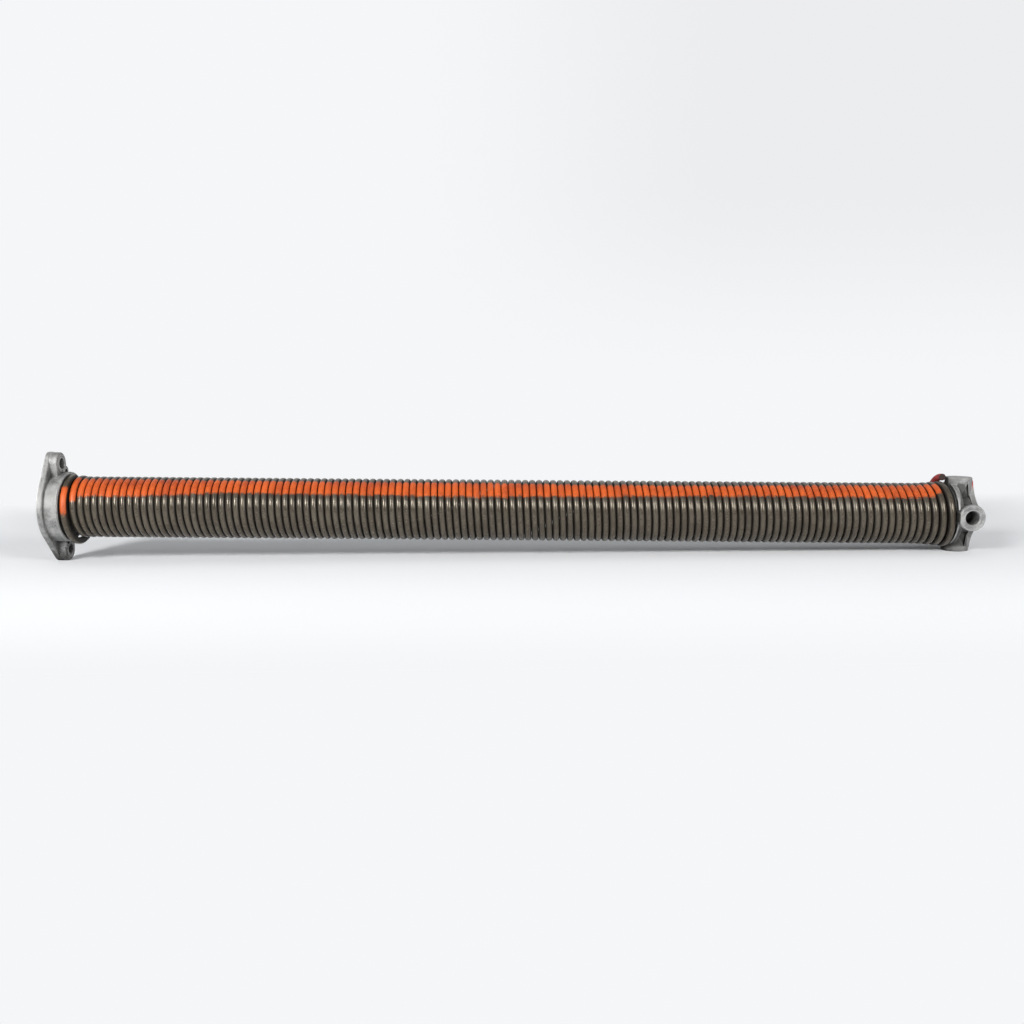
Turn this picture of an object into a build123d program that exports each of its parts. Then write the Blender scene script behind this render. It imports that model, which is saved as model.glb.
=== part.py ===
"""Garage door torsion spring with its two cones fitted, in millimetres.

X runs along the spring from the wall bracket end to the winding end, Z is up, and the shaft
axis is the X axis. The origin is on that axis, in the face that bolts to the centre bracket.
"""
from build123d import *
from math import cos, pi, radians, sin
import os

# ---------------------------------------------------------------- driving dimensions
shaft_diameter = 25.4  # 1 in torsion shaft
shaft_clearance = 0.25  # all round the shaft, as cast
wire_diameter = 6.67  # 0.2625 in oil-tempered wire
coil_inside_diameter = 46.2  # nominal 1-3/4 in, loose as wound
coil_pitch = 6.776  # midway along: wound close, with a hair between turns
pitch_spread = 0.13  # how much looser the last turn is than the first
half_turns = 249  # up to where the wire leaves the winding cone's thread

# the end turns are opened by the cones that are threaded into them
bracket_opened_turns = 2
winding_opened_turns = 4
end_growth = 2.3  # on the radius
bracket_pitch_growth = 1.0
winding_pitch_growth = 1.7
first_turn_droop = 5.4  # the first turn stands off the cone at its bottom
tail_air = 0.6  # under the last half turn, which climbs over the turn before
tail_advance = -1.4  # it ends a little back over that turn

# both castings
seat_air = 0.1  # between the wire and what it seats against
nose_length = 44
nose_taper_length = 26
threaded_half_turns = 8
nose_base_radius = 26.7
nose_tip_radius = 22.4
nose_tip_chamfer = 1.5
edge_round = 1.2
bore_chamfer = 1.0

# stationary cone
plate_thickness = 5
plate_radius = 37.5
drum_radius = 34
drum_length = 17.8
bolt_spacing = 85.72  # 3-3/8 in
bolt_hole_diameter = 10.6  # for 3/8 in bolts
ear_tip_radius = 11.4
ear_lean = 7.3  # degrees from upright, about the shaft axis
ear_body_radius = 10.9
ear_height = 11.5
bolt_pad_radius = 8.2
bolt_pad_height = 0.5
core_pocket_radius = 2.4
core_pocket_depth = 7
core_pocket_reach = 34.6  # from the shaft axis
core_pocket_lean = -2  # degrees from upright
core_boss_radius = 5.6
core_boss_height = 13

# winding cone
hub_radius = 19.5
flange_radius = 30.5
flange_thickness = 4.5
flange_slope_length = 2.5
socket_outside_diameter = 24.8
socket_reach = 36
socket_bar_diameter = 12.7  # 1/2 in winding bar
socket_clearance = 0.25
socket_floor_radius = 17.4
socket_mouth_chamfer = 0.8
web_thickness = 5.5
web_tip_half_width = 5
web_tip_reach = 33
web_waist_radius = 20.6
notch_apex_reach = 31.5  # the three-cornered notches beside each socket
notch_apex_offset = 4.5
notch_foot_reach = 12.5
notch_floor = 8.8

# set screws, 3/8 in with square heads
screw_diameter = 9.5
screw_clearance = 0.05
screw_head = 9.5
screw_head_height = 8.5
screw_tip_radius = 13.4  # backed off, clear of the shaft
screw_shank_end = 28.5
screw_tip_chamfer = 1.0
screw_head_round = 0.6
screw_angles = {"set_screw_top": 45, "set_screw_bottom": -45}  # round X from +Y

# ---------------------------------------------------------------- worked out
wire_radius = wire_diameter / 2
coil_radius = (coil_inside_diameter + wire_diameter) / 2
bore_radius = shaft_diameter / 2 + shaft_clearance
spring_start = drum_length + wire_radius + seat_air
upright = Vector(0, 1, 0)


def opening(place):
    """How far the wire is opened after so many half turns: 1 at either end, 0 along the body."""
    from_bracket = place / 2 / bracket_opened_turns
    from_winding = (half_turns - place) / 2 / winding_opened_turns
    return max(0.0, 1 - min(from_bracket, from_winding)) ** 1.5


def seam_points():
    """Centres of the wire where it crosses the upright plane, over and under the axis by turns."""
    points, x = [], spring_start
    for place in range(half_turns + 1):
        radius = coil_radius + end_growth * opening(place)
        if place == 1:
            radius += first_turn_droop
        points.append(Vector(x, 0, radius if place % 2 == 0 else -radius))
        along = place / half_turns - 0.5
        growth = bracket_pitch_growth if along < 0 else winding_pitch_growth
        x += (coil_pitch + pitch_spread * along + growth * opening(place)) / 2
    last, under = points[-1], points[-2]
    points.append(Vector(last.X + tail_advance, 0, under.Z + wire_diameter + tail_air))
    return points


seams = seam_points()
flange_face = seams[-2].X + wire_radius + 3 * seat_air
socket_plane = seams[-1].X + wire_radius + seat_air + socket_outside_diameter / 2
outboard = socket_plane + socket_outside_diameter / 2


def along_x(x, x_dir=(0, 1, 0)):
    """A work plane square to the shaft axis, with its own x along Y and its own y along Z."""
    return Plane(origin=(x, 0, 0), x_dir=x_dir, z_dir=(1, 0, 0))


def half_turn(place, section):
    """The section carried round from one seam to the next, in a flat arc that leans with the pitch.

    Right-hand wound: over the top, down in front (-Y), under, and up behind.
    """
    start, end = seams[place], seams[place + 1]
    lean = (end - start).cross(upright)
    lean = lean if lean.X > 0 else -lean
    return revolve(section, Axis((start + end) / 2, lean), 180)


def wire_section(place, radius=wire_radius):
    return (Plane(origin=seams[place], x_dir=(1, 0, 0), z_dir=(0, -1, 0)) * Circle(radius)).face()


# ---------------------------------------------------------------- the wire
def make_spring():
    """One wire: the round skins of all the half turns and the tail, with a cut face at each end."""
    skins = [
        half_turn(place, wire_section(place)).faces().filter_by(GeomType.TORUS)[0]
        for place in range(half_turns + 1)
    ]
    return Solid(Shell([wire_section(0), *skins, wire_section(half_turns + 1)]))


def thread_cutter(places):
    """The wire's own path, a seating clearance thicker."""
    return [half_turn(p, wire_section(p, wire_radius + seat_air)) for p in places]


# ---------------------------------------------------------------- the castings
def nose(base, direction):
    """The part of a cone inside the spring: a taper that the end turns sit on, then a plain pilot."""
    profile = [
        (0, 0),
        (0, nose_base_radius),
        (nose_taper_length, nose_tip_radius),
        (nose_length - nose_tip_chamfer, nose_tip_radius),
        (nose_length, nose_tip_radius - nose_tip_chamfer),
        (nose_length, 0),
    ]
    outline = Polyline([(base + direction * x, 0, r) for x, r in profile], close=True)
    return revolve(make_face(outline), Axis.X)


def shaft_bore(start, length):
    """The shaft's way through a casting, with both mouths broken."""
    mouth = bore_radius + bore_chamfer
    tool = along_x(start) * extrude(Circle(bore_radius), length)
    for x, inward in ((start, 1), (start + length, -1)):
        plane = Plane(origin=(x, 0, 0), x_dir=(0, 1, 0), z_dir=(inward, 0, 0))
        tool += plane * Cone(mouth, bore_radius, bore_chamfer, align=(Align.CENTER, Align.CENTER, Align.MIN))
    return tool


def leaning_pair(reach, lean):
    """A place and its opposite, so far from the shaft axis, seen along it with Y across and Z up."""
    away = Vector(-sin(radians(lean)), cos(radians(lean))) * reach
    return [away, -away]


def make_stationary_cone():
    """The wall bracket end: an eared anchor plate, a round drum and the nose."""
    bolts = leaning_pair(bolt_spacing / 2, ear_lean)
    cores = leaning_pair(core_pocket_reach, core_pocket_lean)
    rim = Sketch() + Circle(plate_radius)
    for bolt in bolts:
        rim += Pos(*bolt) * Circle(ear_tip_radius)
    plate = extrude(along_x(0) * make_hull(rim.edges()), plate_thickness)
    plate = fillet(plate.edges().group_by(Axis.X)[-1], edge_round)
    drum = extrude(along_x(0) * Circle(drum_radius), drum_length)
    body = plate + chamfer(drum.edges().group_by(Axis.X)[-1], edge_round)
    ears = Rot(0, 0, 90 + ear_lean) * SlotCenterToCenter(bolt_spacing, 2 * ear_body_radius)
    ears = extrude(along_x(0) * ears, ear_height)
    body += fillet(ears.edges().group_by(Axis.X)[-1], edge_round)
    for bolt, core in zip(bolts, cores):
        body += extrude(along_x(0) * Pos(*bolt) * Circle(bolt_pad_radius), ear_height + bolt_pad_height)
        boss = extrude(along_x(0) * Pos(*core) * Circle(core_boss_radius), core_boss_height)
        body += fillet(boss.edges().group_by(Axis.X)[-1], edge_round)
    body += nose(drum_length, 1)
    for bolt, core in zip(bolts, cores):
        body -= extrude(along_x(0) * Pos(*bolt) * Circle(bolt_hole_diameter / 2), drum_length)
        pocket = Pos(*core) * Circle(core_pocket_radius)
        body -= extrude(along_x(drum_length) * pocket, core_boss_height - core_pocket_depth - drum_length)
    body -= shaft_bore(0, drum_length + nose_length)
    for cutter in thread_cutter(range(threaded_half_turns)):
        body -= cutter
    return body


def make_winding_cone():
    """The winding end: four bar sockets in a cross, a scalloped outboard web, a flange and the nose."""
    hub_length = outboard - flange_face
    slope_start = flange_face + flange_thickness
    body = extrude(along_x(flange_face) * Circle(hub_radius), hub_length)
    slope = [
        (flange_face, 0),
        (flange_face, flange_radius),
        (slope_start, flange_radius),
        (slope_start + flange_slope_length, hub_radius),
        (slope_start + flange_slope_length, 0),
    ]
    body += revolve(make_face(Polyline([(x, 0, r) for x, r in slope], close=True)), Axis.X)
    quarters = [Pos(socket_plane, 0, 0) * Rot(90 * quarter, 0, 0) for quarter in range(4)]
    boss = extrude(Circle(socket_outside_diameter / 2), socket_reach)
    boss = chamfer(boss.edges().group_by(Axis.Z)[-1], socket_mouth_chamfer)
    boss -= socket_notches()
    for quarter in quarters:
        body += quarter * boss
    web = extrude(along_x(outboard) * web_outline(), -web_thickness)
    body += chamfer(web.edges().group_by(Axis.X)[-1], socket_mouth_chamfer)
    body += nose(flange_face, -1)
    bar = socket_bar_diameter / 2 + socket_clearance
    hole = Pos(0, 0, socket_floor_radius) * extrude(Circle(bar), socket_reach)
    hole += Pos(0, 0, socket_reach - socket_mouth_chamfer) * Cone(
        bar, bar + 2 * socket_mouth_chamfer, 2 * socket_mouth_chamfer,
        align=(Align.CENTER, Align.CENTER, Align.MIN),
    )
    for quarter in quarters:
        body -= quarter * hole
    body -= shaft_bore(flange_face - nose_length, hub_length + nose_length)
    for angle in screw_angles.values():
        body -= screw_place(angle) * extrude(Circle(screw_diameter / 2 + screw_clearance), flange_radius)
    for cutter in thread_cutter(range(half_turns - threaded_half_turns, half_turns + 1)):
        body -= cutter
    return body


def socket_notches():
    """What is cast away on both sides of a socket: a flat-floored notch that narrows outwards."""
    corners = [
        (notch_apex_offset, notch_apex_reach),
        (outboard - web_thickness - socket_plane, notch_foot_reach),
        (flange_face + flange_thickness - socket_plane, notch_foot_reach),
    ]
    outline = make_face(Polyline([(x, 0, reach) for x, reach in corners], close=True))
    depth = socket_outside_diameter / 2 - notch_floor
    notch = extrude(Pos(0, notch_floor, 0) * outline, depth, dir=(0, 1, 0))
    return notch + mirror(notch, Plane.XZ)


def web_outline():
    """A four-pointed star with hollow sides, one point to each socket."""
    waist = web_waist_radius * cos(pi / 4)
    sides = []
    for quarter in range(4):
        tip = Line((-web_tip_half_width, web_tip_reach), (web_tip_half_width, web_tip_reach))
        hollow = ThreePointArc(
            (web_tip_half_width, web_tip_reach), (waist, waist), (web_tip_reach, web_tip_half_width)
        )
        sides += [Rot(0, 0, -90 * quarter) * tip, Rot(0, 0, -90 * quarter) * hollow]
    return make_face(sides)


# ---------------------------------------------------------------- the set screws
def screw_place(angle):
    """A screw's own frame: its axis is its Z, pointing out from the shaft."""
    return Pos(socket_plane, 0, 0) * Rot(angle - 90, 0, 0)


def make_set_screw(angle):
    shank = extrude(Circle(screw_diameter / 2), screw_shank_end - screw_tip_radius)
    shank = Pos(0, 0, screw_tip_radius) * chamfer(shank.edges().group_by(Axis.Z)[0], screw_tip_chamfer)
    head = Pos(0, 0, screw_shank_end) * extrude(Rectangle(screw_head, screw_head), screw_head_height)
    head = chamfer(head.edges().group_by(Axis.Z)[-1], screw_head_round)
    return screw_place(angle) * (shank + head)


# ---------------------------------------------------------------- the nodes
parts = {
    "torsion_spring": make_spring(),
    "stationary_cone": make_stationary_cone(),
    "winding_cone": make_winding_cone(),
}
for name, angle in screw_angles.items():
    parts[name] = make_set_screw(angle)

os.makedirs("parts", exist_ok=True)
for name, shape in parts.items():
    export_step(shape, f"parts/{name}.step")
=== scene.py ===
"""The finish of a garage door torsion spring fitted with its two cones.

The castings and the set screws keep their solids. The spring is wound here as one wire, half turn
by half turn, because its paint and its scuffs follow the wire.
"""
from math import atan2, cos, pi, radians, sin

import bmesh
import bpy
from mathutils import Matrix, Vector


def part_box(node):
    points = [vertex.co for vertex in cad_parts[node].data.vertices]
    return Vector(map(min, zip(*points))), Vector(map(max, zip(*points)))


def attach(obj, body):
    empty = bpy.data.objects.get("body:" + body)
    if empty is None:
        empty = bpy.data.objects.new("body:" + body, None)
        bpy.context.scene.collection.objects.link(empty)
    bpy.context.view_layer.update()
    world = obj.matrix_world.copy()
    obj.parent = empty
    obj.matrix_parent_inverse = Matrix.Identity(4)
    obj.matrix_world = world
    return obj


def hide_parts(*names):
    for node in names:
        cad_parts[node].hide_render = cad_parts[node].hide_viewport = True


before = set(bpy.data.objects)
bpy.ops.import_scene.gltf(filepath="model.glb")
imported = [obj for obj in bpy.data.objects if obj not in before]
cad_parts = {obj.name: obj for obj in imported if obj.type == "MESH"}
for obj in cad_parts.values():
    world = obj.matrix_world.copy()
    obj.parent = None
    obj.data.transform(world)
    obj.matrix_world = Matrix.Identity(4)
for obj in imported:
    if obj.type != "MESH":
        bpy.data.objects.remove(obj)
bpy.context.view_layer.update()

# ------------------------------------------------------------------ sizes, in metres
WIRE_DIAMETER = 0.00667
COIL_RADIUS = 0.026435  # to the centre of the wire
COIL_PITCH = 0.006776  # midway along
PITCH_SPREAD = 0.00013  # the body's pitch at the winding end less that at the bracket end
HALF_TURNS = 249  # without the tail, which is one half turn more
BRACKET_OPENED_TURNS = 2  # turns that open toward the bracket end
WINDING_OPENED_TURNS = 4  # and toward the winding end
END_GROWTH = 0.0023  # how far the end turns stand further out
BRACKET_PITCH_GROWTH = 0.0010
WINDING_PITCH_GROWTH = 0.0017
FIRST_TURN_DROOP = 0.0054  # how much lower the first turn hangs
TAIL_AIR = 0.0006  # between the tail and the turn under it
TAIL_ADVANCE = -0.0014  # how far the tail ends past the last turn, along the shaft
LAST_TURN = (HALF_TURNS + 1) / 2  # where the wire ends, counted in turns
DRUM_LENGTH = 0.0178  # of the stationary cone, from its plate to the coil
HUB_LENGTH = 0.0232  # of the winding cone, from its flange to its outer face
SEAT_AIR = 0.0001
SPRING_START = DRUM_LENGTH + WIRE_DIAMETER / 2 + SEAT_AIR
outer_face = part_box("winding_cone")[1].x
flange_start = outer_face - HUB_LENGTH


# ------------------------------------------------------------------ shader nodes
def feed(tree, socket, value):
    """A link or a plain value into one input."""
    if isinstance(value, bpy.types.NodeSocket):
        tree.links.new(value, socket)
    else:
        socket.default_value = value


def add(tree, kind, settings=None, **values):
    """A shader node, with its settings and what goes into each input; i3 means input number 3."""
    node = tree.nodes.new("ShaderNode" + kind)
    for name, value in (settings or {}).items():
        setattr(node, name, value)
    for name, value in values.items():
        key = int(name[1:]) if name[0] == "i" and name[1:].isdigit() else name.replace("_", " ")
        feed(tree, node.inputs[key], value)
    return node


def calc(tree, operation, first, second=0.0):
    """One step of arithmetic."""
    return add(tree, "Math", {"operation": operation}, i0=first, i1=second).outputs[0]


def product(tree, first, *others):
    """Several shares multiplied together."""
    for other in others:
        first = calc(tree, "MULTIPLY", first, other)
    return first


def less(tree, share):
    """What a share leaves of one."""
    return calc(tree, "SUBTRACT", 1.0, share)


def between(tree, value, low, high, out_low=0.0, out_high=1.0):
    """The value spread from low..high over out_low..out_high with soft ends."""
    node = add(tree, "MapRange", {"interpolation_type": "SMOOTHSTEP"}, Value=value, From_Min=low,
               From_Max=high, To_Min=out_low, To_Max=out_high)
    return node.outputs[0]


def level(tree, share, low, high):
    """A number that runs from low to high with a share."""
    return add(tree, "Mix", {"data_type": "FLOAT"}, i0=share, i2=low, i3=high).outputs[0]


def tint(tree, share, under, over, strength=None):
    """Two colours mixed by a share, which may be weakened first."""
    if strength is not None:
        share = calc(tree, "MULTIPLY", share, strength)
    return add(tree, "Mix", {"data_type": "RGBA"}, i0=share, i6=under, i7=over).outputs[2]


def grain(tree, place, scale, detail=3.0, roughness=0.55):
    """Fractal noise from 0 to 1."""
    node = add(tree, "TexNoise", Vector=place, Scale=scale, Detail=detail, Roughness=roughness)
    return node.outputs["Fac"]


def astray(tree, noise, width):
    """A noise turned into a distance to either side, so many units wide in all."""
    return calc(tree, "MULTIPLY", calc(tree, "SUBTRACT", noise, 0.5), width)


def ramp(tree, value, stops):
    """A grey level that follows a list of (place, level) stops."""
    node = add(tree, "ValToRGB", Fac=value)
    band = node.color_ramp
    while len(band.elements) < len(stops):
        band.elements.new(0.5)
    for element, (place, grey) in zip(band.elements, stops):
        element.position = place
        element.color = (grey, grey, grey, 1)
    return node.outputs["Color"]


def relief(tree, shader, height, distance, strength):
    """The material's fine relief, from a height."""
    bump = add(tree, "Bump", Height=height, Distance=distance, Strength=strength)
    tree.links.new(bump.outputs["Normal"], shader["Normal"])


def new_material(name, **constants):
    """A material with one Principled shader, and its constant sockets."""
    material = bpy.data.materials.new(name)
    material.use_nodes = True
    tree = material.node_tree
    shader = tree.nodes["Principled BSDF"]
    for label, value in constants.items():
        shader.inputs[label.replace("_", " ")].default_value = value
    return material, tree, shader.inputs


def new_group(name, inputs, outputs):
    """An empty shader node group with its sockets."""
    group = bpy.data.node_groups.new(name, "ShaderNodeTree")
    for label, kind, value in inputs:
        socket = group.interface.new_socket(label, in_out="INPUT", socket_type="NodeSocket" + kind)
        if value is not None:
            socket.default_value = value
    for label, kind in outputs:
        group.interface.new_socket(label, in_out="OUTPUT", socket_type="NodeSocket" + kind)
    return group, group.nodes.new("NodeGroupInput").outputs, group.nodes.new("NodeGroupOutput").inputs


def use(tree, group, **values):
    """A group placed in a material, with its own values."""
    node = tree.nodes.new("ShaderNodeGroup")
    node.node_tree = group
    for name, value in values.items():
        feed(tree, node.inputs[name], value)
    return node.outputs


# ------------------------------------------------------------------ effects that materials share
def make_mottle():
    """Broad cloudy variation with finer speckle in it, centred on 0.5."""
    group, given, out = new_group("mottle", [("Place", "Vector", None), ("Broad", "Float", 20.0),
                                             ("Fine", "Float", 300.0)], [("Tone", "Float")])
    broad = grain(group, given["Place"], given["Broad"], 3, 0.6)
    fine = grain(group, given["Place"], given["Fine"], 4, 0.65)
    group.links.new(level(group, 0.38, broad, fine), out["Tone"])
    return group


def make_edges():
    """Masks for rubbed edges and for grime with painted shade in corners, from ambient occlusion."""
    group, given, out = new_group("edges", [("Reach", "Float", 0.0012), ("Depth", "Float", 0.006)],
                                  [("Rubbed", "Float"), ("Corner grime and shade", "Float")])
    rounded = add(group, "Bevel", {"samples": 6}, Radius=given["Reach"]).outputs[0]
    flat = add(group, "NewGeometry").outputs["Normal"]
    turned = add(group, "VectorMath", {"operation": "DOT_PRODUCT"}, i0=rounded, i1=flat).outputs["Value"]
    rubbed = between(group, turned, 0.995, 0.86)
    shade = add(group, "AmbientOcclusion", {"samples": 8}, Distance=given["Depth"]).outputs["AO"]
    # ambient occlusion, taken as grime and painted shade in corners
    corner_grime_and_shade = between(group, shade, 0.80, 0.25)
    group.links.new(product(group, rubbed, less(group, corner_grime_and_shade)), out["Rubbed"])
    group.links.new(corner_grime_and_shade, out["Corner grime and shade"])
    return group


def make_flecks():
    """Small scattered chips and specks; Amount sets how many there are."""
    group, given, out = new_group("flecks", [("Place", "Vector", None), ("Scale", "Float", 900.0),
                                             ("Amount", "Float", 0.1)], [("Fleck", "Float")])
    field = grain(group, given["Place"], given["Scale"], 2, 0.5)
    gate = calc(group, "SUBTRACT", 0.78, calc(group, "MULTIPLY", given["Amount"], 0.4))
    group.links.new(between(group, calc(group, "SUBTRACT", field, gate), 0.0, 0.05), out["Fleck"])
    return group


mottle, edges, flecks = make_mottle(), make_edges(), make_flecks()

# ------------------------------------------------------------------ the wire's finish
WIRE_DARK = (0.068, 0.056, 0.041, 1)
WIRE_LIGHT = (0.135, 0.115, 0.088, 1)
WIRE_WARM = (0.100, 0.076, 0.048, 1)
WIRE_SCUFF = (0.62, 0.58, 0.50, 1)
# painted shade for the wire's flanks and underside
WIRE_SHADE = (0.010, 0.007, 0.004, 1)
WIRE_METAL = 0.55
ORANGE = (0.62, 0.104, 0.011, 1)
ORANGE_THIN = (0.32, 0.040, 0.004, 1)
RED = (0.40, 0.014, 0.011, 1)
RED_DARK = (0.16, 0.008, 0.007, 1)
# the bare cut face, darkened further with painted shade
CUT_FACE_SHADED = (0.030, 0.012, 0.009, 1)
# where the red starts, where it covers fully, and where the cut face is, in turns from the wire's end
RED_TURNS = (0.12, 0.09)
CUT_FACE_TURNS = 0.0001

# the lists that follow run over this length from the bracket end, as shares of it
LISTED_LENGTH = 0.9  # metres
SCUFFED = [(0.0, 0.03), (0.16, 0.05), (0.20, 0.16), (0.38, 0.20), (0.44, 0.05), (1.0, 0.03)]
# the stripe's lower and upper edges, in hundreds of degrees up from the front
STRIPE_LOW = [(0.0, 0.27), (0.10, 0.28), (0.19, 0.36), (0.36, 0.34), (0.47, 0.32), (0.60, 0.35),
              (0.72, 0.38), (0.92, 0.37), (1.0, 0.40)]
STRIPE_HIGH = [(0.0, 0.76), (0.10, 0.74), (0.19, 0.70), (0.47, 0.68), (0.56, 0.65), (0.72, 0.65),
               (0.83, 0.70), (0.93, 0.73), (1.0, 0.83)]
STRIPE_UNIT = 100.0
# how the stripe shifts on the end turns, and how far its edges stray, in degrees
FIRST_TURN_DROP = 32.0
SECOND_TURN_DROP = 11.0
LAST_TURNS_RISE = 8.0
TURN_WAVER = 3.0
EDGE_RAGGED = 12.0


def drawn_lines(tree, run, outward, side):
    """Fine lines that run along the wire."""
    along = add(tree, "CombineXYZ", X=calc(tree, "MULTIPLY", run, 0.7),
                Y=calc(tree, "MULTIPLY", outward, 2.2), Z=calc(tree, "MULTIPLY", side, 2.2))
    return grain(tree, along.outputs[0], 3.4, 5, 0.62)


def wire_steel(tree, tone, own, drawn):
    """Bare tempered steel: cloudy, each turn a little different, paler on the drawn lines."""
    steel = tint(tree, between(tree, tone, 0.26, 0.74), WIRE_DARK, WIRE_LIGHT)
    steel = tint(tree, between(tree, own, 0.0, 1.0, 0.0, 0.22), steel, WIRE_WARM)
    return tint(tree, between(tree, drawn, 0.54, 0.74, 0.0, 0.35), steel, WIRE_LIGHT)


def handled_scuffs(tree, place, share, outward):
    """Scuffs where coils have been handled, more of them on one stretch."""
    scuff = use(tree, flecks, Place=place, Scale=620.0, Amount=ramp(tree, share, SCUFFED))["Fleck"]
    return product(tree, scuff, between(tree, outward, 0.35, 0.85))


def stripe_edges(tree, share, run):
    """How far up the stripe starts and ends: lower on the first turns, shorter on the last."""
    first = calc(tree, "LESS_THAN", run, 1.0)
    second = product(tree, calc(tree, "LESS_THAN", run, 2.0), less(tree, first))
    last = calc(tree, "GREATER_THAN", run, LAST_TURN - 2)
    drop = calc(tree, "MULTIPLY", first, FIRST_TURN_DROP)
    low = calc(tree, "MULTIPLY", ramp(tree, share, STRIPE_LOW), STRIPE_UNIT)
    low = calc(tree, "SUBTRACT", low, drop)
    low = calc(tree, "SUBTRACT", low, calc(tree, "MULTIPLY", second, SECOND_TURN_DROP))
    low = calc(tree, "ADD", low, calc(tree, "MULTIPLY", last, LAST_TURNS_RISE))
    high = calc(tree, "MULTIPLY", ramp(tree, share, STRIPE_HIGH), STRIPE_UNIT)
    return low, calc(tree, "SUBTRACT", high, drop)


def stripe_mask(tree, place, share, run, own, outward):
    """The sprayed stripe: ragged, strayed from turn to turn, chipped, and missing between turns."""
    _, y, z = add(tree, "SeparateXYZ", Vector=place).outputs
    front = calc(tree, "MULTIPLY", y, -1.0)
    up = calc(tree, "MULTIPLY", calc(tree, "ARCTAN2", z, front), 180 / pi)
    low, high = stripe_edges(tree, share, run)
    ragged = astray(tree, grain(tree, place, 520.0, 3, 0.6), EDGE_RAGGED)
    edge = calc(tree, "ADD", astray(tree, own, TURN_WAVER), ragged)
    up = calc(tree, "ADD", up, edge)
    above = between(tree, calc(tree, "SUBTRACT", up, low), -3.0, 3.0)
    below = between(tree, calc(tree, "SUBTRACT", high, up), -2.5, 3.5)
    kept = calc(tree, "LESS_THAN", run, LAST_TURN - 1)
    reached = between(tree, calc(tree, "ADD", outward, calc(tree, "MULTIPLY", edge, 0.02)), 0.26, 0.56)
    chip = use(tree, flecks, Place=place, Scale=480.0, Amount=0.12)["Fleck"]
    whole = less(tree, calc(tree, "MULTIPLY", chip, 0.75))
    return product(tree, above, below, kept, reached, whole)


def orange_coat(tree, tone, outward):
    """Sprayed orange, thin in patches and on the sides of the wire."""
    coat = tint(tree, between(tree, tone, 0.30, 0.62), ORANGE_THIN, ORANGE)
    return tint(tree, between(tree, outward, 0.75, 0.15, 0.0, 0.8), coat, ORANGE_THIN)


def oil_tempered_wire():
    """Dark tempered wire, with a sprayed orange stripe along the coil, red on the tail, and painted shade
    on the flanks of each turn.
    """
    material, tree, shader = new_material("oil_tempered_wire")
    place = add(tree, "TexCoord").outputs["Object"]
    length = add(tree, "SeparateXYZ", Vector=place).outputs["X"]
    share = calc(tree, "DIVIDE", length, LISTED_LENGTH)
    run = add(tree, "Attribute", {"attribute_name": "run"}).outputs["Fac"]
    around = add(tree, "Attribute", {"attribute_name": "around"}).outputs["Vector"]
    outward, side = add(tree, "SeparateXYZ", Vector=around).outputs[:2]
    turn = calc(tree, "FLOOR", run)
    own = add(tree, "TexWhiteNoise", {"noise_dimensions": "1D"}, W=turn).outputs["Value"]
    tone = use(tree, mottle, Place=place, Broad=46.0, Fine=520.0)["Tone"]
    drawn = drawn_lines(tree, run, outward, side)
    scuff = handled_scuffs(tree, place, share, outward)
    # painted shade over the wire's flanks and underside, growing from the crest inwards
    flank_shade = between(tree, outward, 0.97, 0.55)
    stripe = stripe_mask(tree, place, share, run, own, outward)
    tail = between(tree, run, *(LAST_TURN - turns for turns in RED_TURNS))
    painted = calc(tree, "MAXIMUM", stripe, tail)

    colour = wire_steel(tree, tone, own, drawn)
    colour = tint(tree, scuff, colour, WIRE_SCUFF, 0.8)
    colour = tint(tree, flank_shade, colour, WIRE_SHADE, 0.97)
    colour = tint(tree, stripe, colour, orange_coat(tree, tone, outward))
    red = tint(tree, between(tree, tone, 0.35, 0.65), RED_DARK, RED)
    colour = tint(tree, tail, colour, red)
    # the cut face: bare steel with painted shade
    cut = calc(tree, "GREATER_THAN", run, LAST_TURN - CUT_FACE_TURNS)
    tree.links.new(tint(tree, cut, colour, CUT_FACE_SHADED), shader["Base Color"])

    covered = calc(tree, "MAXIMUM", painted, calc(tree, "MULTIPLY", flank_shade, 0.7))
    tree.links.new(product(tree, less(tree, covered), WIRE_METAL), shader["Metallic"])
    rough = level(tree, between(tree, tone, 0.3, 0.7), 0.22, 0.32)
    rough = level(tree, calc(tree, "MAXIMUM", scuff, flank_shade), rough, 0.6)
    rough = level(tree, painted, rough, 0.44)
    tree.links.new(level(tree, tail, rough, 0.62), shader["Roughness"])
    height = calc(tree, "ADD", calc(tree, "MULTIPLY", drawn, 0.35), calc(tree, "MULTIPLY", tone, 0.4))
    height = calc(tree, "ADD", height, calc(tree, "MULTIPLY", painted, 0.45))
    relief(tree, shader, height, 0.00008, 0.4)
    return material


# ------------------------------------------------------------------ the castings and the screws
CAST_METAL = 0.6
CAST_DARK = (0.16, 0.16, 0.156, 1)
CAST_LIGHT = (0.44, 0.44, 0.43, 1)
CAST_STAIN = (0.24, 0.236, 0.228, 1)
CAST_RUBBED = (0.66, 0.66, 0.64, 1)
# grime in pits, painted shade in corners and pockets, and the darker noses and bottom
CAST_GRIME_AND_SHADE = (0.035, 0.033, 0.030, 1)
SCREW_DARK = (0.26, 0.25, 0.23, 1)
SCREW_LIGHT = (0.47, 0.46, 0.43, 1)
SCREW_RUBBED = (0.72, 0.70, 0.66, 1)

# each pair is where a mask starts and where it is full, in metres
NOSE_START = (0.0006, 0.0010)  # past the drum's end and short of the flange
# between these heights the castings turn darker towards the bottom
LOWER_DARK_HEIGHT = (-0.030, -0.042)
POCKET_ACROSS = (0.0040, 0.0075)  # off the planes through the sockets
POCKET_OUT = (0.0345, 0.0315)  # from the shaft's axis
MARK_DEPTH = (0.0022, 0.0010)  # short of the outer face
MARK_HEIGHT = (0.024, 0.030)
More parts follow.
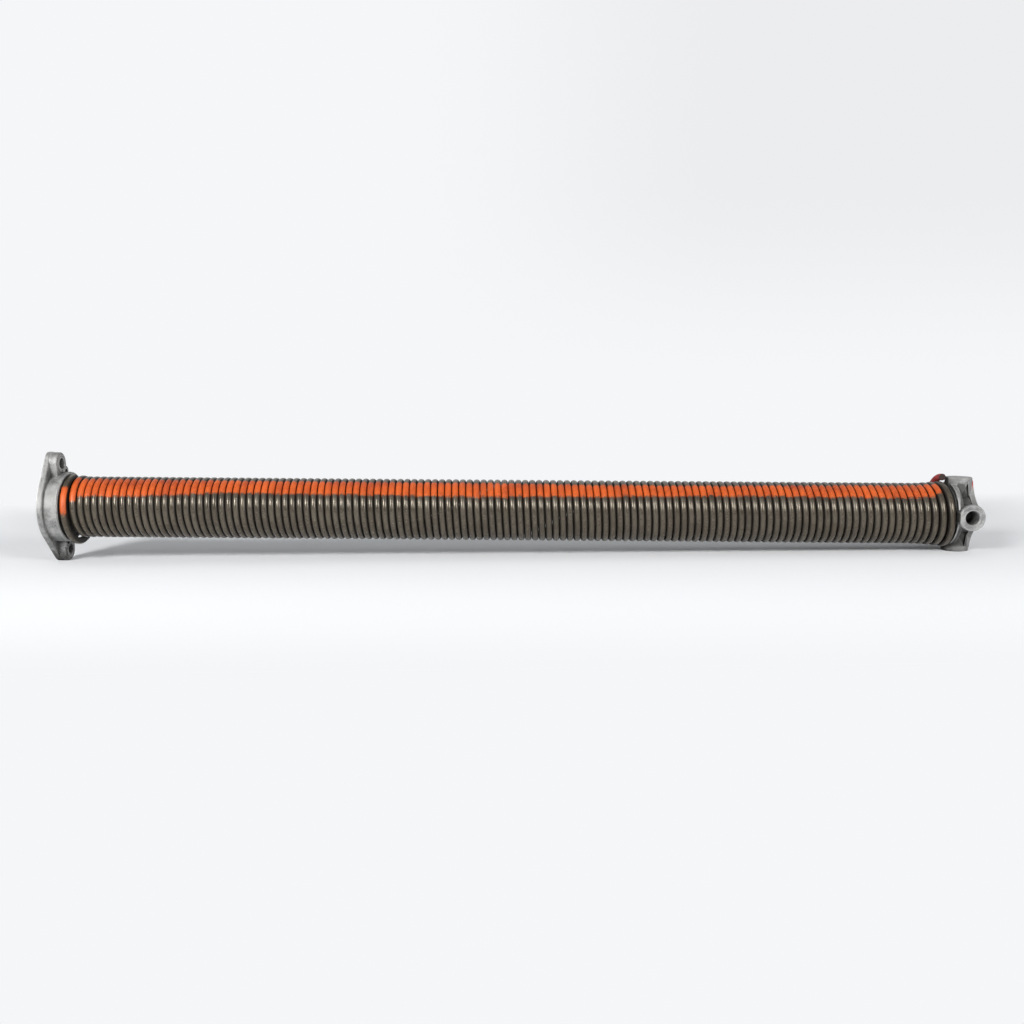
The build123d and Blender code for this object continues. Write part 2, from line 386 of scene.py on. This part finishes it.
# the painted shade in the pockets narrows between these heights, and has these sides at the lower and the
# higher one
POCKET_NARROWS = (0.008, 0.034)
POCKET_INNER = (0.0010, 0.0050)  # past the flange's start
POCKET_OUTER = (0.0045, 0.0110)  # short of the outer face


def nose_mask(tree, x):
    """The two noses, which lie inside the spring."""
    past_drum = between(tree, x, *(DRUM_LENGTH + start for start in NOSE_START))
    short_of_flange = between(tree, x, *(flange_start - start for start in NOSE_START))
    return product(tree, past_drum, short_of_flange)


def pocket_shade_mask(tree, x, y, z):
    """Painted shade in the four pockets between the bar sockets."""
    across = calc(tree, "MINIMUM", calc(tree, "ABSOLUTE", y), calc(tree, "ABSOLUTE", z))
    out = calc(tree, "SQRT", calc(tree, "ADD", product(tree, y, y), product(tree, z, z)))
    high = between(tree, z, *POCKET_NARROWS)
    inner = level(tree, high, *(flange_start + past for past in POCKET_INNER))
    outer = level(tree, high, *(outer_face - short for short in POCKET_OUTER))
    past_inner = between(tree, calc(tree, "SUBTRACT", x, inner), 0.0, 0.0010)
    short_of_outer = between(tree, calc(tree, "SUBTRACT", x, outer), 0.0, -0.0014, 0.35, 1.0)
    sides = product(tree, between(tree, across, *POCKET_ACROSS), between(tree, out, *POCKET_OUT))
    return product(tree, sides, past_inner, short_of_outer)


def red_mark(tree, place, x, z):
    """A dab of red over the top of the outer face, with a wandering edge."""
    wander = astray(tree, grain(tree, place, 160.0), 0.004)
    near = between(tree, calc(tree, "ADD", x, wander), *(outer_face - depth for depth in MARK_DEPTH))
    return product(tree, near, between(tree, calc(tree, "ADD", z, wander), *MARK_HEIGHT))


def cast_aluminium(name, marked=False):
    """Grey die-cast aluminium: cloudy skin, rubbed edges, grime and painted shade in the corners, painted
    shade in the pockets, darker noses and bottom, maybe a red mark.
    """
    material, tree, shader = new_material(name, Metallic=CAST_METAL)
    place = add(tree, "TexCoord").outputs["Object"]
    x, y, z = add(tree, "SeparateXYZ", Vector=place).outputs
    tone = use(tree, mottle, Place=place, Broad=85.0, Fine=900.0)["Tone"]
    masks = use(tree, edges, Reach=0.0018, Depth=0.012)
    pits = use(tree, flecks, Place=place, Scale=700.0, Amount=0.22)["Fleck"]
    patch = between(tree, grain(tree, place, 34.0, 2, 0.5), 0.48, 0.66, 0.0, 0.6)
    # darker towards the bottom, in blotches
    lower_dark = between(tree, z, *LOWER_DARK_HEIGHT, 0.0, 0.55)
    lower_dark = product(tree, lower_dark, between(tree, tone, 0.62, 0.42))
    # painted shade in the pockets between the sockets, and the noses darker
    pocket_shade = calc(tree, "MULTIPLY", pocket_shade_mask(tree, x, y, z), 0.80)
    nose_dark_and_pocket_shade = calc(tree, "MAXIMUM", nose_mask(tree, x), pocket_shade)

    skin = tint(tree, between(tree, tone, 0.34, 0.64), CAST_DARK, CAST_LIGHT)
    skin = tint(tree, patch, skin, CAST_STAIN)
    skin = tint(tree, masks["Rubbed"], skin, CAST_RUBBED, 0.8)
    skin = tint(tree, pits, skin, CAST_GRIME_AND_SHADE, 0.5)
    # grime and painted shade in the corners, from ambient occlusion
    skin = tint(tree, masks["Corner grime and shade"], skin, CAST_GRIME_AND_SHADE, 0.85)
    skin = tint(tree, lower_dark, skin, CAST_GRIME_AND_SHADE)
    skin = tint(tree, nose_dark_and_pocket_shade, skin, CAST_GRIME_AND_SHADE, 0.9)
    rough = level(tree, between(tree, tone, 0.3, 0.7), 0.50, 0.66)
    rough = level(tree, calc(tree, "MAXIMUM", masks["Corner grime and shade"], nose_dark_and_pocket_shade), rough, 0.8)
    if marked:
        red = product(tree, red_mark(tree, place, x, z), less(tree, pits))
        skin = tint(tree, red, skin, RED)
        rough = level(tree, red, rough, 0.5)
        tree.links.new(product(tree, less(tree, red), CAST_METAL), shader["Metallic"])
    tree.links.new(skin, shader["Base Color"])
    tree.links.new(rough, shader["Roughness"])
    height = calc(tree, "SUBTRACT", tone, calc(tree, "MULTIPLY", pits, 0.6))
    relief(tree, shader, height, 0.00035, 0.55)
    return material


def screw_steel():
    """Plated steel, dulled, with rubbed corners, and grime with painted shade in its recesses."""
    material, tree, shader = new_material("screw_steel", Metallic=1.0)
    place = add(tree, "TexCoord").outputs["Object"]
    tone = use(tree, mottle, Place=place, Broad=240.0, Fine=1400.0)["Tone"]
    masks = use(tree, edges, Reach=0.0006, Depth=0.004)
    skin = tint(tree, between(tree, tone, 0.32, 0.66), SCREW_DARK, SCREW_LIGHT)
    skin = tint(tree, masks["Rubbed"], skin, SCREW_RUBBED, 0.7)
    # grime and painted shade in the screw's corners
    skin = tint(tree, masks["Corner grime and shade"], skin, CAST_GRIME_AND_SHADE, 0.8)
    tree.links.new(skin, shader["Base Color"])
    tree.links.new(level(tree, between(tree, tone, 0.3, 0.7), 0.34, 0.5), shader["Roughness"])
    relief(tree, shader, tone, 0.0002, 0.4)
    return material


# ------------------------------------------------------------------ the wound wire
ACROSS = Vector((0, 1, 0))
SECTION_SIDES = 16
HALF_TURN_STEPS = 22
STRETCH_HALF_TURNS = 12  # wound in one mesh, before the meshes are joined
SEAM_SLACK = 0.2  # radians short of a seam that still count as on it


def opening(place):
    """How far the wire is opened after so many half turns: 1 at either end, 0 along the body."""
    from_bracket = place / 2 / BRACKET_OPENED_TURNS
    from_winding = (HALF_TURNS - place) / 2 / WINDING_OPENED_TURNS
    return max(0.0, 1 - min(from_bracket, from_winding)) ** 1.5


def seam_points():
    """Centres of the wire where it crosses the upright plane, over and under the axis by turns."""
    points, x = [], SPRING_START
    for place in range(HALF_TURNS + 1):
        radius = COIL_RADIUS + END_GROWTH * opening(place)
        if place == 1:
            radius += FIRST_TURN_DROOP
        points.append(Vector((x, 0, radius if place % 2 == 0 else -radius)))
        along = place / HALF_TURNS - 0.5
        growth = BRACKET_PITCH_GROWTH if along < 0 else WINDING_PITCH_GROWTH
        x += (COIL_PITCH + PITCH_SPREAD * along + growth * opening(place)) / 2
    points.append(Vector((points[-1].x + TAIL_ADVANCE, 0, points[-2].z + WIRE_DIAMETER + TAIL_AIR)))
    return points


def wind_stretch(seams, first, last):
    """The wire's skin from one half turn to another, each spun in its own leaning plane."""
    skin = bmesh.new()
    run = skin.verts.layers.float.new("run")
    around = skin.verts.layers.float_vector.new("around")
    stand = Matrix.Translation(seams[first]) @ Matrix.Rotation(pi / 2, 4, "X")
    bmesh.ops.create_circle(skin, segments=SECTION_SIDES, radius=WIRE_DIAMETER / 2, matrix=stand)
    ring, done = skin.verts[:] + skin.edges[:], 0
    for place in range(first, last):
        start, end = seams[place], seams[place + 1]
        centre = (start + end) / 2
        lean = (end - start).cross(ACROSS).normalized()
        lean = lean if lean.x > 0 else -lean
        spun = bmesh.ops.spin(skin, geom=ring, cent=centre, axis=lean, angle=pi, steps=HALF_TURN_STEPS,
                              use_duplicate=False)
        ring = spun["geom_last"]
        out = (start - centre).normalized()
        ahead = lean.cross(out)
        radius = (start - centre).length
        for vertex in skin.verts[done:]:
            arm = vertex.co - centre
            angle = atan2(arm.dot(ahead), arm.dot(out))
            angle = angle if angle > -SEAM_SLACK else angle + 2 * pi
            reach = (arm - lean * arm.dot(lean)).length - radius
            section = atan2(arm.dot(lean), reach)
            vertex[run] = (place + angle / pi) / 2
            vertex[around] = (cos(section), sin(section), 0)
        done = len(skin.verts)
    return skin


def place_mesh(name, shape):
    """A finished shape as an object of the scene, which stands at the origin."""
    mesh = bpy.data.meshes.new(name)
    shape.to_mesh(mesh)
    shape.free()
    piece = bpy.data.objects.new(name, mesh)
    bpy.context.scene.collection.objects.link(piece)
    return piece


def wound_spring():
    """The stretches joined into one skin, with its two cut ends closed."""
    seams = seam_points()
    whole = bmesh.new()
    for first in range(0, HALF_TURNS + 1, STRETCH_HALF_TURNS):
        skin = wind_stretch(seams, first, min(first + STRETCH_HALF_TURNS, HALF_TURNS + 1))
        part = bpy.data.meshes.new("stretch")
        skin.to_mesh(part)
        skin.free()
        whole.from_mesh(part)
        bpy.data.meshes.remove(part)
    open_ends = [vertex for vertex in whole.verts if vertex.is_boundary]
    bmesh.ops.remove_doubles(whole, verts=open_ends, dist=1e-6)
    rims = [edge for edge in whole.edges if edge.is_boundary]
    bmesh.ops.holes_fill(whole, edges=rims, sides=SECTION_SIDES)
    bmesh.ops.recalc_face_normals(whole, faces=whole.faces[:])
    for face in whole.faces:
        face.smooth = True
    for edge in rims:
        edge.smooth = False
    return place_mesh("wound_spring", whole)


def paint(node, material):
    """A material on a solid that keeps its own shape."""
    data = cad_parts[node].data
    data.materials.clear()
    data.materials.append(material)


spring = wound_spring()
spring.data.materials.append(oil_tempered_wire())
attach(spring, "root")
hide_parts("torsion_spring")

paint("stationary_cone", cast_aluminium("cast_aluminium"))
paint("winding_cone", cast_aluminium("cast_aluminium_marked", marked=True))
plated = screw_steel()
paint("set_screw_top", plated)
paint("set_screw_bottom", plated)

# ------------------------------------------------------------------ floor, light and camera
MIDDLE = 0.45  # of the assembly, along the shaft
# where the assembly stands on the floor, under an ear and under the lowest socket
EAR_FOOT = Vector((0.005, 0, -0.0539))
SOCKET_FOOT = Vector((0.8705, 0, -0.036))
SHEET_HALF_WIDTH = 6
SHEET_HALF_DEPTH = 4
SHEET_BACK = 3  # where the floor ends and the cove starts
COVE_RADIUS = 1.2
COVE_STEPS = 24
WALL_HEIGHT = 5

PAPER = (0.93, 0.94, 0.955, 1)
PAPER_SEEN = (0.913, 0.922, 0.939, 1)
# the far paper glows darker up and to the right, a painted falloff of light
PAPER_SEEN_FAR_FALLOFF = (0.84, 0.845, 0.86, 1)
# the paper shows its own colour past the shadow, whose middle lies this far behind the shaft
SHADOW_MIDDLE = 0.06
SHADOW_DEPTH = (0.16, 0.46)
SHADOW_LENGTH = (0.50, 0.80)
FAR_RIGHT = (-0.2, 1.6)
FAR_UP = (0.1, 1.2)

ROOM_COLOUR = (0.97, 0.985, 1.0, 1)
ROOM_LIGHT = 0.34
ROOM_DARK = 0.04
ROOM_LEFT = 0.75
ROOM_RIGHT = 0.3
ROOM_SEEN = 0.9

# each lamp's place, its width and height, and its watts
SOFTBOXES = {
    "left_softbox": ((-0.45, -1.35, 0.78), (0.55, 0.45), 24),
    "right_softbox": ((1.45, -1.35, 0.78), (0.55, 0.45), 17),
    "top_softbox": ((0.45, 0.1, 1.6), (2.4, 1.2), 1.5),
}

CAMERA_AIM = Vector((0.44796, 0, -0.002))
CAMERA_DISTANCE = 0.970
CAMERA_RISE = radians(7.2)
CAMERA_ROLL = radians(0.45)
CAMERA_LENS = 34.84


def studio_sweep():
    """A pale sheet: floor, cove and back wall in one, lying under both ends of the assembly."""
    slope = (SOCKET_FOOT.z - EAR_FOOT.z) / (SOCKET_FOOT.x - EAR_FOOT.x)
    sheet = bmesh.new()
    bmesh.ops.create_grid(sheet, x_segments=1, y_segments=1, size=1)
    bmesh.ops.scale(sheet, vec=(SHEET_HALF_WIDTH, SHEET_HALF_DEPTH, 1), verts=sheet.verts)
    bmesh.ops.translate(sheet, vec=(MIDDLE, SHEET_BACK - SHEET_HALF_DEPTH, 0), verts=sheet.verts)
    back = [edge for edge in sheet.edges if all(vertex.co.y > SHEET_BACK - 0.1 for vertex in edge.verts)]
    cove = bmesh.ops.spin(sheet, geom=back + list(back[0].verts), cent=(0, SHEET_BACK, COVE_RADIUS),
                          axis=(1, 0, 0), angle=pi / 2, steps=COVE_STEPS, use_duplicate=False)
    rim = [part for part in cove["geom_last"] if isinstance(part, bmesh.types.BMEdge)]
    wall = bmesh.ops.extrude_edge_only(sheet, edges=rim)["geom"]
    wall = [part for part in wall if isinstance(part, bmesh.types.BMVert)]
    bmesh.ops.translate(sheet, vec=(0, 0, WALL_HEIGHT), verts=wall)
    bmesh.ops.recalc_face_normals(sheet, faces=sheet.faces[:])
    for face in sheet.faces:
        face.smooth = True
    bmesh.ops.rotate(sheet, cent=(0, 0, 0), matrix=Matrix.Rotation(-slope, 3, "Y"), verts=sheet.verts)
    bmesh.ops.translate(sheet, vec=(0, 0, EAR_FOOT.z - slope * EAR_FOOT.x), verts=sheet.verts)
    sweep = place_mesh("studio_sweep", sheet)
    sweep.data.materials.append(pale_paper())


def pale_paper():
    """Matt paper that takes the shadow; away from the object it glows in its pale colour, darker up and to
    the right as a painted falloff of light.
    """
    material, tree, _ = new_material("pale_paper", Base_Color=PAPER, Roughness=0.9, Specular_IOR_Level=0.1)
    x, y, z = add(tree, "SeparateXYZ", Vector=add(tree, "TexCoord").outputs["Object"]).outputs
    off_in_depth = calc(tree, "ABSOLUTE", calc(tree, "SUBTRACT", y, SHADOW_MIDDLE))
    off_in_length = calc(tree, "ABSOLUTE", calc(tree, "SUBTRACT", x, MIDDLE))
    clear = calc(tree, "MAXIMUM", between(tree, off_in_depth, *SHADOW_DEPTH),
                 between(tree, off_in_length, *SHADOW_LENGTH))
    ray = add(tree, "LightPath").outputs
    seen = calc(tree, "MAXIMUM", ray["Is Camera Ray"], ray["Is Glossy Ray"])
    seen = calc(tree, "MAXIMUM", seen, ray["Is Transmission Ray"])
    # painted falloff of light on the far paper
    far = product(tree, between(tree, z, *FAR_UP), between(tree, x, *FAR_RIGHT))
    glow = add(tree, "Emission", Color=tint(tree, far, PAPER_SEEN, PAPER_SEEN_FAR_FALLOFF), Strength=1.0)
    both = add(tree, "MixShader", i0=product(tree, clear, seen),
               i1=tree.nodes["Principled BSDF"].outputs[0], i2=glow.outputs[0])
    tree.links.new(both.outputs[0], tree.nodes["Material Output"].inputs["Surface"])
    return material


def look(place, aim):
    """The place and turn of a lamp or camera that looks at a point."""
    turn = (Vector(aim) - Vector(place)).to_track_quat("-Z", "Y").to_matrix().to_4x4()
    return Matrix.Translation(place) @ turn


def softbox(name, place, size, power):
    """A soft rectangular lamp that faces the middle of the spring."""
    light = bpy.data.lights.new(name, "AREA")
    light.shape = "RECTANGLE"
    light.size, light.size_y = size
    light.energy = power
    lamp = bpy.data.objects.new(name, light)
    lamp.matrix_world = look(place, (MIDDLE, 0, 0))
    bpy.context.scene.collection.objects.link(lamp)


def surroundings():
    """A pale room, darker low down behind the camera, and plain pale where it is seen itself."""
    world = bpy.data.worlds.new("pale_room")
    world.use_nodes = True
    tree = world.node_tree
    x, y, z = add(tree, "SeparateXYZ", Vector=add(tree, "TexCoord").outputs["Generated"]).outputs
    dark = product(tree, between(tree, y, -0.35, -0.8), between(tree, z, 0.42, 0.22))
    room = level(tree, dark, ROOM_LIGHT, ROOM_DARK)
    room = level(tree, between(tree, x, -0.80, -0.92), room, ROOM_LEFT)
    room = level(tree, between(tree, x, 0.80, 0.92), room, ROOM_RIGHT)
    room = level(tree, add(tree, "LightPath").outputs["Is Camera Ray"], room, ROOM_SEEN)
    back = tree.nodes["Background"].inputs
    tree.links.new(room, back["Strength"])
    back["Color"].default_value = ROOM_COLOUR
    bpy.context.scene.world = world


def camera():
    """Square on to the shaft axis, from slightly above, rolled by a hair."""
    lens = bpy.data.cameras.new("camera")
    lens.lens = CAMERA_LENS
    lens.clip_start = 0.01
    rig = bpy.data.objects.new("camera", lens)
    place = CAMERA_AIM + Vector((0, -cos(CAMERA_RISE), sin(CAMERA_RISE))) * CAMERA_DISTANCE
    rig.matrix_world = look(place, CAMERA_AIM) @ Matrix.Rotation(CAMERA_ROLL, 4, "Z")
    bpy.context.scene.collection.objects.link(rig)
    bpy.context.scene.camera = rig


studio_sweep()
surroundings()
for name, (place, size, power) in SOFTBOXES.items():
    softbox(name, place, size, power)
camera()
bpy.context.scene.view_settings.view_transform = "Standard"
